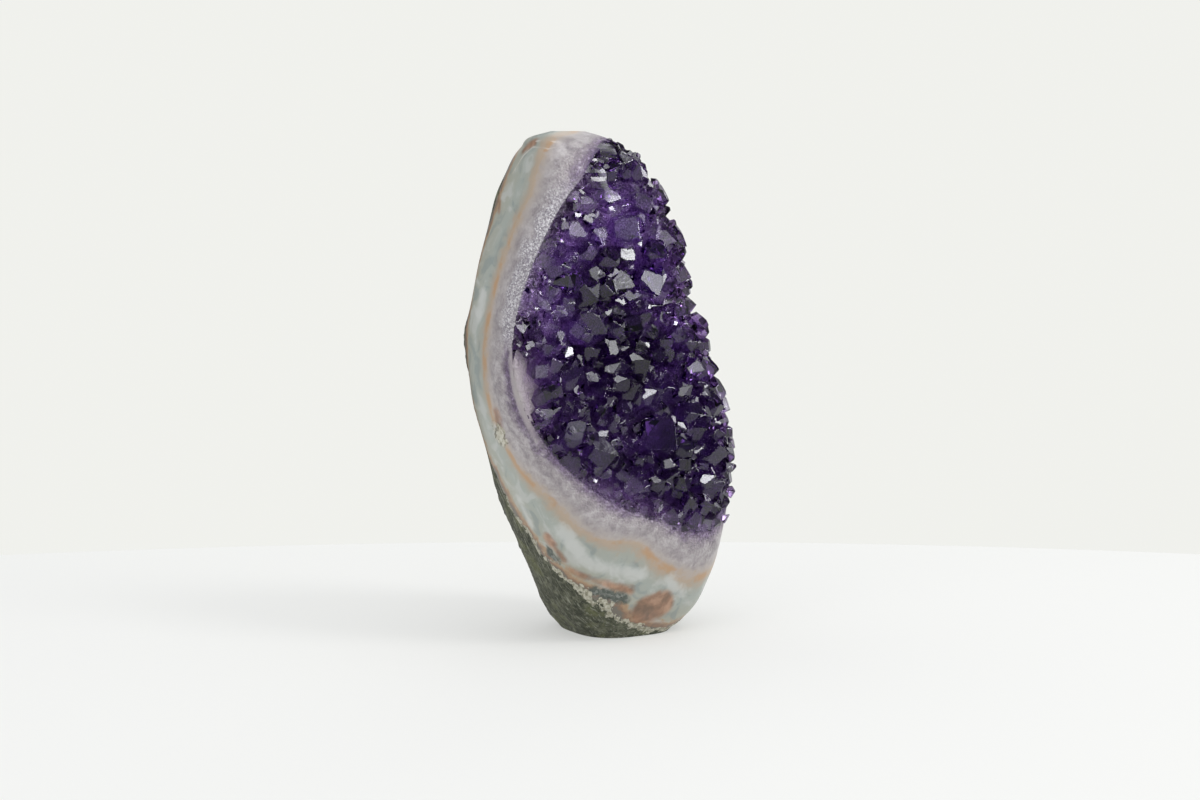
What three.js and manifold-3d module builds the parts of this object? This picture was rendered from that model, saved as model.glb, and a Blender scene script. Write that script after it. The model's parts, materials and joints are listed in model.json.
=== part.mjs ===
import * as THREE from 'three';
import { mergeVertices } from 'three/addons/utils/BufferGeometryUtils.js';
import Module from 'manifold-3d';

// A cut-base amethyst geode: a piece of agate wall on green basalt, stood on a sawn base, with a
// druse of amethyst in its hollow. Its origin is the middle of the base, +Z is up and the hollow
// faces -Y. Lengths are in millimetres.

const wasm = await Module();
wasm.setup();

// The ground outline of the stone: at each height its left, right, front and back reach
const OUTLINE = [
  { z: 0, left: -10.6, right: 10.8, front: -11.6, back: 12 },
  { z: 4, left: -14.2, right: 15.4, front: -14.7, back: 14.5 },
  { z: 12, left: -18.6, right: 19.4, front: -18.3, back: 16.5 },
  { z: 24, left: -24, right: 21.6, front: -22.3, back: 18 },
  { z: 40, left: -29.6, right: 22.4, front: -24.4, back: 19 },
  { z: 56, left: -33.6, right: 17.4, front: -26.8, back: 19 },
  { z: 72, left: -33.5, right: 12.8, front: -25.7, back: 17.5 },
  { z: 88, left: -30.1, right: 7.4, front: -22.9, back: 14 },
  { z: 100, left: -26.7, right: 1.6, front: -19.4, back: 9 },
  { z: 106, left: -24.1, right: -3.4, front: -16.2, back: 4 },
  { z: 108.6, left: -21.7, right: -8.4, front: -11.5, back: -0.5 },
  { z: 109.5, left: -18.5, right: -11, front: -8, back: -4 },
];
const HEIGHT = OUTLINE[OUTLINE.length - 1].z;
const FRONT_SQUARENESS = 3;
const BACK_SQUARENESS = 2.6;
const OUTLINE_ROWS = 26;
const OUTLINE_SIDES = 38;

// Low lumps on the rough back of the basalt, which fade out towards the ground sides
const LUMP_HEIGHT = 0.9;
const LUMPS_START = 3;
const LUMPS_FULL = 10;

// Sawn or broken flats on the basalt: the way each one faces and a point on it
const BASALT_FLATS = [
  { facing: [-0.86, 0.33, -0.39], through: [-23.5, -4.6, 16.7] },
];

// The hollow is a stretched ball that leans right above and below its middle
const HOLLOW = {
  centre: [12.5, -73.4, 60],
  radius: 60.6,
  widening: 1.84,
  leanBelow: -1.26,
  leanAbove: 0.75,
  riseBelow: 0.55,
  riseAbove: 0.06,
  slant: 0.1,
  bend: 8,
};

// Swells and dips of the hollow's wall: where, how wide and how far forward
const SWELLS = [
  { x: 2, z: 74, reach: 11, forward: -5 },
  { x: 14, z: 38, reach: 9, forward: -3 },
  { x: 2, z: 46, reach: 10, forward: 3 },
  { x: -5, z: 106, reach: 9, forward: -7 },
];

const CRUST_BASE = 3;
const GAP = 0.3;

// Crystals of quartz: six-sided, with rhombohedral tip faces 38.2 degrees from the axis
const TIP_FACE_ANGLE = THREE.MathUtils.degToRad(38.2);
const SMALLEST_CRYSTAL = 5;
const LARGEST_CRYSTAL = 7.5;
const CRYSTAL_SPACING = 0.8;
const CRYSTAL_TRIES = 6000;
const GREATEST_LEAN = 0.55;
const LARGE_WIDTH = 7;
const NARROW_FACE_SETBACK = 0.3;
const ROOT_DEPTH = 1;
const JAGGED_EDGE = 2;
const SEED = 4711;

// The crystals that stand out most, with the lean of those that reach past the right edge
const CHOSEN_CRYSTALS = [
  { x: -17, z: 76.5, width: 9 },
  { x: -14.5, z: 69, width: 10 },
  { x: 0.5, z: 81, width: 9 },
  { x: -0.5, z: 44.5, width: 11 },
  { x: -16, z: 42, width: 8 },
  { x: -20, z: 57, width: 7 },
  { x: -3, z: 60, width: 7 },
  { x: -5, z: 54, width: 7 },
  { x: 1.5, z: 53.5, width: 7 },
  { x: 12, z: 71.5, width: 8, lean: 0.8, leanWay: 0 },
  { x: 9.5, z: 78.5, width: 5.5, lean: 0.7, leanWay: 0.2 },
  { x: -8, z: 34.5, width: 6.5 },
  { x: 0.5, z: 28.5, width: 8 },
  { x: 14.5, z: 39.5, width: 8 },
  { x: 8, z: 49, width: 6.5 },
  { x: 18.5, z: 47, width: 7, lean: 0.5, leanWay: 0 },
  { x: -21, z: 88.5, width: 6 },
  { x: -8.5, z: 90, width: 8 },
  { x: -15, z: 99, width: 6 },
  { x: -2.5, z: 100, width: 6 },
  { x: -30.5, z: 75, width: 6 },
  { x: -26.5, z: 82.5, width: 5 },
  { x: -25, z: 75.5, width: 5 },
  { x: -7.5, z: 77.5, width: 7 },
  { x: -13.5, z: 83.5, width: 6 },
  { x: -14.5, z: 35, width: 8 },
  { x: -0.5, z: 89.5, width: 8 },
  { x: 13.5, z: 58, width: 7 },
  { x: -17, z: 49, width: 6 },
  { x: -10, z: 47, width: 6 },
];

const BASALT_GREEN = 0x6f7460;
const AMETHYST = 0x3a2a6c;

const mix = (from, to, share) => from + (to - from) * share;

function smoothOutline(key, height) {
  const rows = OUTLINE;
  const slope = (i) => (rows[i + 1][key] - rows[i][key]) / (rows[i + 1].z - rows[i].z);
  const tangent = (i) => {
    if (i === 0) return slope(0);
    if (i === rows.length - 1) return slope(i - 1);
    const before = rows[i].z - rows[i - 1].z;
    const after = rows[i + 1].z - rows[i].z;
    return (slope(i - 1) * after + slope(i) * before) / (before + after);
  };
  let i = 0;
  while (i < rows.length - 2 && height > rows[i + 1].z) i += 1;
  const span = rows[i + 1].z - rows[i].z;
  const t = (height - rows[i].z) / span;
  return (2 * t ** 3 - 3 * t ** 2 + 1) * rows[i][key]
    + (t ** 3 - 2 * t ** 2 + t) * span * tangent(i)
    + (3 * t ** 2 - 2 * t ** 3) * rows[i + 1][key]
    + (t ** 3 - t ** 2) * span * tangent(i + 1);
}

// How far the rough back stands out, three crossing waves of different lengths
function backLump(x, y, z) {
  const share = THREE.MathUtils.smoothstep(y, LUMPS_START, LUMPS_FULL)
    * THREE.MathUtils.smoothstep(z, 2, 12) * THREE.MathUtils.smoothstep(HEIGHT - z, 2, 12);
  const waves = Math.sin(x / 4.1 + z / 9) + Math.sin(z / 5.3 - x / 11) + Math.sin((x + z) / 3.1);
  return share * LUMP_HEIGHT * (waves / 3 - 0.4);
}

// A point on the outline, at a height and an angle about the section's middle
function outlinePoint(height, angle, wider = 0) {
  const left = smoothOutline('left', height);
  const right = smoothOutline('right', height) + wider;
  const front = smoothOutline('front', height);
  const back = smoothOutline('back', height);
  const halfWidth = (right - left) / 2;
  const halfDepth = (back - front) / 2;
  const across = Math.cos(angle);
  const along = Math.sin(angle);
  const squareness = along < 0 ? FRONT_SQUARENESS : BACK_SQUARENESS;
  const size = (Math.abs(across / halfWidth) ** squareness
    + Math.abs(along / halfDepth) ** squareness) ** (-1 / squareness);
  const y = (front + back) / 2 + size * along;
  const grown = size + backLump(size * across, y, height);
  return [(left + right) / 2 + grown * across, (front + back) / 2 + grown * along, height];
}

// The y of the hollow's wall, a depth behind the crystals' feet
function wallY(x, z, depth) {
  const [centreX, centreY, centreZ] = HOLLOW.centre;
  const rise = z - centreZ;
  const bent = Math.hypot(rise, HOLLOW.bend);
  const above = (rise + bent) / 2;
  const below = (rise - bent) / 2;
  const aside = (x - centreX - HOLLOW.leanAbove * above - HOLLOW.leanBelow * below) / HOLLOW.widening;
  const up = HOLLOW.riseAbove * above + HOLLOW.riseBelow * below;
  const squared = (HOLLOW.radius + depth) ** 2 - aside ** 2 - up ** 2;
  const plain = centreY + Math.sqrt(Math.max(squared, 1)) - HOLLOW.slant * (x - centreX);
  return SWELLS.reduce((y, swell) => {
    const away = Math.hypot(x - swell.x, z - swell.z) / swell.reach;
    return y - swell.forward * Math.exp(-(away ** 2));
  }, plain);
}

// A solid made of a closed mesh
function toSolid(geometry) {
  geometry.deleteAttribute('normal');
  geometry.deleteAttribute('uv');
  const merged = mergeVertices(geometry, 1e-5);
  return new wasm.Manifold(new wasm.Mesh({
    numProp: 3,
    vertProperties: new Float32Array(merged.attributes.position.array),
    triVerts: new Uint32Array(merged.index.array),
  }));
}

// The outer shell alone, with the closed pockets between crystals filled
function largestShell(solid) {
  return solid.decompose().reduce((largest, shell) => (
    shell.volume() > largest.volume() ? shell : largest));
}

function toGeometry(solid) {
  const { vertProperties, triVerts, numProp } = solid.getMesh();
  const geometry = new THREE.BufferGeometry();
  const positions = new Float32Array((vertProperties.length / numProp) * 3);
  for (let i = 0; i < positions.length / 3; i += 1) {
    positions.set(vertProperties.subarray(i * numProp, i * numProp + 3), i * 3);
  }
  geometry.setAttribute('position', new THREE.BufferAttribute(positions, 3));
  geometry.setIndex(new THREE.BufferAttribute(new Uint32Array(triVerts), 1));
  geometry.computeVertexNormals();
  return geometry;
}

// Moves every point of a geometry to where place(x, y, z) says
function reshape(geometry, place) {
  const position = geometry.attributes.position;
  for (let i = 0; i < position.count; i += 1) {
    position.setXYZ(i, ...place(position.getX(i), position.getY(i), position.getZ(i)));
  }
  return geometry;
}

function makeOutlineSolid(wider = 0) {
  const tube = new THREE.CylinderGeometry(1, 1, 1, OUTLINE_SIDES, OUTLINE_ROWS);
  reshape(tube, (x, y, z) => {
    const height = HEIGHT * Math.sin((y + 0.5) * Math.PI / 2) ** 1.3;
    const middle = outlinePoint(height, 0, wider)[0] + outlinePoint(height, Math.PI, wider)[0];
    const depth = outlinePoint(height, Math.PI / 2)[1] + outlinePoint(height, -Math.PI / 2)[1];
    if (Math.hypot(x, z) < 0.5) return [middle / 2, depth / 2, height];
    return outlinePoint(height, Math.atan2(-z, x), wider);
  });
  return toSolid(tube);
}

// Everything in front of the hollow's wall, at a depth behind the crystals' feet
function makeFrontOfWall(depth) {
  const width = 80;
  const front = -60;
  const columns = 11;
  const rows = 15;
  const sheet = new THREE.BoxGeometry(width, 1, HEIGHT + 10, columns, 1, rows);
  reshape(sheet, (x, y, z) => {
    const height = z + HEIGHT / 2;
    return [x, y > 0 ? wallY(x, height, depth) : front, height];
  });
  return toSolid(sheet);
}

function makeStoneWall(outline) {
  let stone = outline.subtract(makeFrontOfWall(CRUST_BASE + GAP));
  for (const flat of BASALT_FLATS) {
    const inward = new THREE.Vector3(...flat.facing).normalize().negate();
    stone = stone.trimByPlane(inward.toArray(), inward.dot(new THREE.Vector3(...flat.through)));
  }
  return stone;
}

// The same run of numbers between 0 and 1 each time
function numberStream(seed) {
  const multiplier = 48271;
  const modulus = 2147483647;
  let state = seed;
  return () => {
    state = (state * multiplier) % modulus;
    return state / modulus;
  };
}

function isInDruse(x, z) {
  const y = wallY(x, z, 0);
  if (z < 2 || z > HEIGHT - 0.5) return false;
  const left = outlinePoint(z, Math.PI)[0];
  const right = outlinePoint(z, 0)[0];
  const front = outlinePoint(z, -Math.PI / 2)[1];
  const back = outlinePoint(z, Math.PI / 2)[1];
  const across = (x - (left + right) / 2) / ((right - left) / 2);
  const along = (y - (front + back) / 2) / ((back - front) / 2);
  return Math.abs(across) ** FRONT_SQUARENESS + Math.abs(along) ** FRONT_SQUARENESS < 1;
}

function placeCrystals() {
  const next = numberStream(SEED);
  const crystals = [];
  const draw = () => ({
    lean: GREATEST_LEAN * Math.sqrt(next()),
    leanWay: 2 * Math.PI * next(),
    turn: 2 * Math.PI * next(),
    tallness: next(),
  });
  for (const crystal of CHOSEN_CRYSTALS) {
    crystals.push({ ...draw(), ...crystal });
  }
  for (let tries = 0; tries < CRYSTAL_TRIES; tries += 1) {
    const x = mix(-36, 24, next());
    const z = mix(10, HEIGHT, next());
    const width = mix(SMALLEST_CRYSTAL, LARGEST_CRYSTAL, next() ** 2);
    const crystal = { x, z, width, ...draw() };
    const tooClose = (other) => Math.hypot(other.x - x, other.z - z)
      < CRYSTAL_SPACING * (other.width + width) / 2;
    if (isInDruse(x, z) && !crystals.some(tooClose)) crystals.push(crystal);
  }
  return crystals;
}

// The way a crystal at a place on the wall stands, leaning from square to the wall
function crystalAxis(x, z, lean, leanWay) {
  const step = 0.5;
  const slopeX = (wallY(x + step, z, 0) - wallY(x - step, z, 0)) / (2 * step);
  const slopeZ = (wallY(x, z + step, 0) - wallY(x, z - step, 0)) / (2 * step);
  return new THREE.Vector3(
    slopeX + Math.tan(lean) * Math.cos(leanWay),
    -1,
    slopeZ + Math.tan(lean) * Math.sin(leanWay),
  ).normalize();
}

// A crystal: a six-sided prism with three broad tip faces and, on a large one, three narrow ones
function makeCrystal({ x, z, width, lean, leanWay, turn, tallness }) {
  const radius = width / 2;
  const tip = width * mix(0.65, 1, tallness);
  const feet = new THREE.Vector3(x, wallY(x, z, 0), z);
  const axis = crystalAxis(x, z, lean, leanWay);
  const upright = new THREE.Vector3(0, 1, 0);
  const turned = new THREE.Quaternion().setFromUnitVectors(upright, axis)
    .multiply(new THREE.Quaternion().setFromAxisAngle(upright, turn));
  const prism = new THREE.CylinderGeometry(radius, radius, tip + ROOT_DEPTH, 6);
  prism.translate(0, (tip - ROOT_DEPTH) / 2, 0);
  prism.applyQuaternion(turned).translate(...feet);
  let crystal = toSolid(prism);
  for (let face = 0; face < 6; face += 1) {
    const narrow = face % 2 === 1;
    if (narrow && width < LARGE_WIDTH) continue;
    const way = (face + 0.5) * Math.PI / 3;
    const reach = tip + (narrow ? NARROW_FACE_SETBACK * radius : 0);
    const outward = new THREE.Vector3(
      Math.sin(way) * Math.cos(TIP_FACE_ANGLE),
      Math.sin(TIP_FACE_ANGLE),
      Math.cos(way) * Math.cos(TIP_FACE_ANGLE),
    ).applyQuaternion(turned);
    const onFace = axis.clone().multiplyScalar(reach).add(feet);
    crystal = crystal.trimByPlane(outward.negate().toArray(), outward.dot(onFace));
  }
  return crystal;
}

function makeCrystalCrust(outline) {
  const base = outline.intersect(makeFrontOfWall(CRUST_BASE)).subtract(makeFrontOfWall(0));
  const crystals = wasm.Manifold.union(placeCrystals().map(makeCrystal));
  const widerOutline = makeOutlineSolid(JAGGED_EDGE);
  const kept = crystals.intersect(widerOutline).intersect(makeFrontOfWall(CRUST_BASE));
  return largestShell(base.add(kept));
}

function makeNode(name, solid, color, roughness) {
  const material = new THREE.MeshStandardMaterial({ color, roughness, metalness: 0 });
  const mesh = new THREE.Mesh(toGeometry(solid), material);
  mesh.name = name;
  return mesh;
}

const outline = makeOutlineSolid();
const geode = new THREE.Group();
geode.add(makeNode('stone_wall', makeStoneWall(outline), BASALT_GREEN, 0.5));
geode.add(makeNode('crystal_crust', makeCrystalCrust(outline), AMETHYST, 0.1));

export default geode;
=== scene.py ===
import json
import math

import bmesh
import bpy
import numpy as np
from mathutils import Matrix, Quaternion, Vector, noise

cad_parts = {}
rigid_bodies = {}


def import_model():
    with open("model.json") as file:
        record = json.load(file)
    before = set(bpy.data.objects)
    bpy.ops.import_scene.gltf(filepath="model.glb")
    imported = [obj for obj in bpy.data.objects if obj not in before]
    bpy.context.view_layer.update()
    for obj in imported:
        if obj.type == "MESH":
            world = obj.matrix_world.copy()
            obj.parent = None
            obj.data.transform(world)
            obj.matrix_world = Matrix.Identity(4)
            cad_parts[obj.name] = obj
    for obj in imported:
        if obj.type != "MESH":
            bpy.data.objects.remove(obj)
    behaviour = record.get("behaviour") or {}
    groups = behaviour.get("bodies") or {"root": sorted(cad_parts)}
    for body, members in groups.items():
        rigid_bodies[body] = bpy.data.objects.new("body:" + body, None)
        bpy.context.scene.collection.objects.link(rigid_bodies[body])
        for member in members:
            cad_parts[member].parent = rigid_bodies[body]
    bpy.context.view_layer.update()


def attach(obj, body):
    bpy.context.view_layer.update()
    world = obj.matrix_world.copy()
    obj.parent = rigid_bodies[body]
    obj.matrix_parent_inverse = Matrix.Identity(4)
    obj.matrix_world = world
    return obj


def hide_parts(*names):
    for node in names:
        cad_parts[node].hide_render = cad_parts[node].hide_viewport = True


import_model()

# The shapes are worked out in millimetres, as the solids are, and made in metres
MM = 0.001

# The stone's ground outline: height, left, right, front and back reach
OUTLINE = np.array([
    (0, -10.6, 10.8, -11.6, 12),
    (4, -14.2, 15.4, -14.7, 14.5),
    (12, -18.6, 19.4, -18.3, 16.5),
    (24, -24, 21.6, -22.3, 18),
    (40, -29.6, 22.4, -24.4, 19),
    (56, -33.6, 17.4, -26.8, 19),
    (72, -33.5, 12.8, -25.7, 17.5),
    (88, -30.1, 7.4, -22.9, 14),
    (100, -26.7, 1.6, -19.4, 9),
    (106, -24.1, -3.4, -16.2, 4),
    (108.6, -21.7, -8.4, -11.5, -0.5),
    (109.5, -18.5, -11, -8, -4),
])
HEIGHTS, LEFT, RIGHT, FRONT, BACK = OUTLINE.T
HEIGHT = HEIGHTS[-1]
FRONT_SQUARENESS = 3
BACK_SQUARENESS = 2.6

# The rough back: how far its lumps stand out, and where they and the finer roughness begin
LUMP_HEIGHT = 0.9
LUMPS_FROM = (3, 10)
LUMPS_OFF_ENDS = (2, 12)
ROUGH_FROM = (5, 12)

# A sawn flat at the lower left: the way it faces, a point on it and its corner's rounding
FLAT_FACING = Vector((-0.86, 0.33, -0.39)).normalized()
FLAT_THROUGH = Vector((-23.5, -4.6, 16.7))
FLAT_ROUNDING = 0.8

# The hollow: a stretched ball that leans right above and below its middle, with swells and dips
HOLLOW_X = 12.5
HOLLOW_Y = -73.4
HOLLOW_Z = 60
HOLLOW_RADIUS = 60.6
HOLLOW_WIDENING = 1.84
LEAN_BELOW = -1.26
LEAN_ABOVE = 0.75
RISE_BELOW = 0.55
RISE_ABOVE = 0.06
HOLLOW_SLANT = 0.1
HOLLOW_BEND = 8
SWELLS = [(2, 74, 11, -5), (14, 38, 9, -3), (2, 46, 10, 3), (-5, 106, 9, -7)]

# The main crystals: where they may stand, their sizes, and their tip faces' setbacks in radii
DRUSE_X = (-36, 24)
DRUSE_Z = (10, HEIGHT)
HIGHEST_FOOT = HEIGHT - 0.5
SMALLEST_CRYSTAL = 5
LARGEST_CRYSTAL = 7.5
CRYSTAL_SPACING = 0.8
CRYSTAL_TRIES = 6000
SEED = 4711
TALLNESS = (0.75, 1.2)
GREATEST_LEAN = 0.55
TIP_FACE_ANGLE = math.radians(38.2)
BROAD_FACE_SETBACK = (-0.35, 0.1)
NARROW_FACE_SETBACK = (-0.2, 0.55)
SEEDS_PER_TURN = 100000
ROOT_DEPTH = 1
EDGE_BEVEL = 0.07
BEVELLED_FROM = 2.2

# How far tips may stand out of the ground outline, by x from its left part to its right one
JAGGED_EDGE = 2
JAGGED_FROM = (-4, 4)
TIP_ABOVE_OUTLINE = 0.5

# Crystals listed where the photo has large ones: x, z and width, and for some lean and its way
CHOSEN_CRYSTALS = [
    (-17, 76.5, 9), (-14.5, 69, 10), (0.5, 81, 9), (-0.5, 44.5, 11),
    (-16, 42, 8), (-20, 57, 7), (-3, 60, 7), (-5, 54, 7),
    (1.5, 53.5, 7), (12, 71.5, 8, 0.8, 0), (9.5, 78.5, 5.5, 0.7, 0.2), (-8, 34.5, 6.5),
    (0.5, 28.5, 8), (14.5, 39.5, 8), (8, 49, 6.5), (18.5, 47, 7, 0.5, 0),
    (-21, 88.5, 6), (-8.5, 90, 8), (-15, 99, 6), (-2.5, 100, 6),
    (-30.5, 75, 6), (-26.5, 82.5, 5), (-25, 75.5, 5), (-7.5, 77.5, 7),
    (-13.5, 83.5, 6), (-14.5, 35, 8), (-0.5, 89.5, 8), (13.5, 58, 7),
    (-17, 49, 6), (-10, 47, 6),
]

# Small crystals that fill the gaps, and smaller ones along the hollow's left rim
SMALL_CRYSTAL_TRIES = 14000
SMALL_CRYSTAL_SPACING = 0.55
SMALL_SEED = 90210
SMALLEST_FILLER = 2.8
LARGEST_FILLER = 5.8
SMALLEST_AT_RIM = 1.1
RIM_WIDTH = 3
SMALL_SLENDERNESS = (1, 1.5)
SMALL_LEAN = 1.2
SMALL_MARGIN = 1

# Depths behind the crystals' feet
CRUST_STARTS = 0.5
STONE_STARTS = 0.8
CRUST_ENDS = 1.1
BASALT_STARTS = 21.3

# The stone stands up a little around the hollow, and bulges where pale quartz has no crystals
RIM_RISE = 1
RIM_REACH = 1.2
RIM_ROUNDING = 0.3
BULGE = (-31.5, 55.5)
BULGE_REACH = (6.5, 10)
BULGE_RISE = 3
BULGE_LAYER = 6
BULGE_LAYER_FADES = (1, 5)
BARE_BULGE = 0.7

# Low relief where agate meets basalt, up to the heights between which it ends
RAGGED_RISES = 0.28
RAGGED_WIDTH = 0.6
SAWN_SINKS = 0.16
RELIEF_STARTS = (0, 1.5)
LEDGE_ENDS = (28, 36)

# How finely shapes are made
STONE_ROWS = 300
STONE_SIDES = 320
CUTTER_ROWS = 90
CUTTER_SIDES = 140
CUTTER_COLUMNS = 60
CUTTER_HALF_WIDTH = 40
CUTTER_SPARE = 5
CUTTER_FRONT = -60
ROW_CROWDING = 1.3
VERY_FAR = 1e3

# Where the layers lie further out than the hollow's shape alone puts them: place, reach, amount
LAYER_SWELLS = [
    ((-13, -19, 17), 11, 3.4),
    ((-6, -22, 22), 5.5, 3),
    ((-31.5, -6, 47), 13, -2.2),
    ((-26.5, -12, 96), 12, 1.8),
    ((-24, -17, 31), 8, 2),
    ((2, -20, 16), 6, 1.2),
    ((-9, -16, 9), 6, 1.8),
    ((-27, 2, 97), 12, 1),
]

# Rust-brown streaks and blobs, dark patches and white clouds: two ends and a half width
RUST = [
    ((-22.9, -11.7, 23.6), (-22.2, -12.2, 22.4), 1.3),
    ((-22.2, -12.2, 22.4), (-20, -13.5, 18.8), 0.7),
    ((-19, -14, 16.8), (-12, -17.2, 13.6), 0.7),
    ((-12, -17.2, 13.6), (-6.3, -18, 11.6), 1),
    ((1.8, -16.2, 7.6), (-1, -16.2, 6.6), 3.7),
    ((-23.7, -7.5, 107.4), (-24.4, -4.6, 105.6), 1),
    ((-32.2, -7.2, 50.5), (-32, -7, 48), 1.4),
    ((-28.8, -1.4, 92.5), (-28.2, -0.6, 94.5), 0.5),
]
DARK = [
    ((-13.6, -16.1, 11.9), (-7.4, -17, 9.8), 1.3),
    ((-21.8, -10.4, 20.2), (-20.6, -11.2, 18.8), 1.2),
]
WHITE = [
    ((-26.5, -6, 31.5), (-24.8, -7.6, 25.8), 1),
    ((-21.9, -16.2, 25.4), (-18.5, -17.4, 21), 1.8),
    ((-17, -17.6, 18.8), (-4.5, -19.2, 15.4), 1.5),
    ((-33.5, -0.8, 71), (-33.2, -1.8, 75), 1.6),
    ((3, -18.6, 13.2), (8, -18, 9), 1.2),
    ((-31.7, -4.6, 46.2), (-31.2, -6.2, 44.6), 1.3),
]

# A pitted place and its radius, and healed cracks as lines of points
PITS = ((-31.3, -6, 45.6), 2.6)
CRACKS = [
    [(-28.1, -2.3, 93.7), (-28.2, -4.6, 93.7), (-28.1, -9.2, 93.7), (-27.8, -11, 94.2),
     (-27.6, -12.8, 93.5), (-26.4, -15.9, 93.1), (-24.5, -18.1, 94.1), (-22.9, -18.8, 95.4),
     (-21.4, -18.8, 97.1), (-19.1, -18.5, 98.9), (-16.4, -17.7, 100.9)],
    [(-26.3, -3, 100.5), (-25.1, -5.5, 104.3), (-24, -7.6, 106.1), (-23.2, -12.9, 105.7),
     (-20.4, -15, 106.1)],
    [(-23.7, -7.9, 107.4), (-21.7, -13, 107.2)],
    [(-30.9, -7.2, 82.1), (-30.4, -10.9, 82.7), (-31.1, -11.3, 80.5)],
]

# Heights between which sugary quartz fades in and out again
SUGAR_STARTS = (63, 69)
SUGAR_ENDS = (93, 101)

# Attribute values inside the basalt and far from any marking, and the least and greatest kept
IN_BASALT = 30
UNMARKED = 9
ATTRIBUTE_RANGE = (-9, 40)

# How pale the crystals are, how they differ, and painted shade deep between them: darker near the wall,
# paler towards their tips
PALENESS = 0.3
OWN_PALENESS = 0.7
OWN_MIDDLE = 0.45
CREVICE_SHADE = 0.4
CREVICE_SHADE_MIDDLE = 0.6
SHADE_FADES_ABOVE_WALL = (0.5, 4.5)
MIDDLE_OF_CRYSTAL = 0.4

# Painted light and shade over the druse, by x and z: place, reach and amount. More is painted light,
# such as the glow at the lit left rim; less is painted shade, such as in the deep hollow and along the
# right edge
DRUSE_PAINTED_LIGHT_AND_SHADE = [
    (-30.5, 73.5, 4, 0.45), (-25.5, 84, 3, 0.35), (-8, 75, 10, -0.35),
    (-6, 67, 9, -0.45), (0.5, 81, 5, 0.25), (-10, 95, 6, 0.15),
    (-14, 52, 8, 0.2), (7, 38, 6, -0.25), (-12, 33, 7, 0.3),
    (-22, 45, 6, 0.2), (8, 62, 7, 0.15), (-17, 96, 6, 0.15),
    (4, 95, 5, -0.3), (8, 88, 5, -0.3), (13, 76, 5, -0.25),
    (17, 63, 5, -0.3), (20, 52, 5, -0.3), (22, 42, 5, -0.25),
    (21, 30, 5, -0.3),
]

# Soft boxes: name, place, width and height, and watts
LIGHTS = [
    ("left_panel", (-0.85, -0.35, 0.3), (0.5, 0.6), 1),
    ("right_panel", (0.55, -0.75, 0.35), (0.25, 0.25), 0.8),
    ("top_panel", (0, -0.1, 0.9), (0.8, 0.8), 1),
    ("key", (0.3, -0.45, 0.65), (0.2, 0.2), 1.2),
    ("back_panel", (0.45, 0.5, 0.4), (0.4, 0.4), 0.5),
]
LIGHTS_POINT_AT = (0, 0, 0.05)

# The sky: what the camera sees, the light all round, and the windows that shiny surfaces reflect
BACKDROP = (0.875, 0.88, 0.845)
STUDIO_LIGHT = (0.97, 0.985, 1)
AMBIENT = 0.78
BRIGHTEST_WINDOW = 17
DIM_WINDOW = 0.06
DIM_AND_BRIGHT_AT = [("X", -0.9, -0.5), ("Y", 0.3, -0.1)]
WINDOWS_TURN = (2.6, 0.7, 0.9)
WINDOWS_SCALE = 2.6
WINDOWS_DETAIL = 1.5
REFLECTED_LEVELS = [(0, 0.006), (0.46, 0.01), (0.52, 0.16), (0.58, 0.28), (0.65, 1), (1, 1)]

# The table top, in metres, with a part of its brightness given off to keep it even
FLOOR_RADIUS = 0.6
FLOOR_FORWARD = 0.485
FLOOR_SIDES = 256
FLOOR_COLOUR = (0.5, 0.5, 0.488)
FLOOR_GLOW_COLOUR = (0.95, 0.955, 0.94)
FLOOR_GLOW = 0.4

# The camera: a 70 mm lens on 36 mm film, left of the hollow and a little above
FOCAL_LENGTH = 70
FILM_WIDTH = 36
NEAREST_SEEN = 0.01
CAMERA_AZIMUTH = math.radians(-30)
CAMERA_ELEVATION = math.radians(6)
CAMERA_DISTANCE = 507.2
CAMERA_TARGET = (-6.06, -4.67, 51.5)


def smooth_outline(reach, height):
    """A reach of the outline at any heights, on a smooth curve through the listed ones."""
    spans = np.diff(HEIGHTS)
    slopes = np.diff(reach) / spans
    inner = (slopes[:-1] * spans[1:] + slopes[1:] * spans[:-1]) / (spans[1:] + spans[:-1])
    tangents = np.concatenate([slopes[:1], inner, slopes[-1:]])
    row = np.clip(np.searchsorted(HEIGHTS, height, side="left") - 1, 0, len(HEIGHTS) - 2)
    span = spans[row]
    t = (height - HEIGHTS[row]) / span
    return ((2 * t**3 - 3 * t**2 + 1) * reach[row] + (t**3 - 2 * t**2 + t) * span * tangents[row]
            + (3 * t**2 - 2 * t**3) * reach[row + 1] + (t**3 - t**2) * span * tangents[row + 1])


def smoothstep(value, low, high):
    t = np.clip((value - low) / (high - low), 0, 1)
    return t * t * (3 - 2 * t)


def back_lump(x, y, z):
    """How far the rough back stands out, in long waves of unlike lengths."""
    share = smoothstep(y, *LUMPS_FROM) * smoothstep(z, *LUMPS_OFF_ENDS)
    share = share * smoothstep(HEIGHT - z, *LUMPS_OFF_ENDS)
    waves = np.sin(x / 4.1 + z / 9) + np.sin(z / 5.3 - x / 11) + np.sin((x + z) / 3.1)
    return share * LUMP_HEIGHT * (waves / 3 - 0.4)


def outline_reach(height, angle, wider=0):
    """The middle of each section and how far the outline is from it, at a height and an angle."""
    left = smooth_outline(LEFT, height)
    right = smooth_outline(RIGHT, height) + wider
    front = smooth_outline(FRONT, height)
    back = smooth_outline(BACK, height)
    across = np.cos(angle)
    along = np.sin(angle)
    squareness = np.where(along < 0, FRONT_SQUARENESS, BACK_SQUARENESS)
    size = (np.abs(across / ((right - left) / 2)) ** squareness
            + np.abs(along / ((back - front) / 2)) ** squareness) ** (-1 / squareness)
    middle_x = (left + right) / 2
    middle_y = (front + back) / 2
    size = size + back_lump(size * across, middle_y + size * along, height)
    return middle_x, middle_y, size


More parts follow.
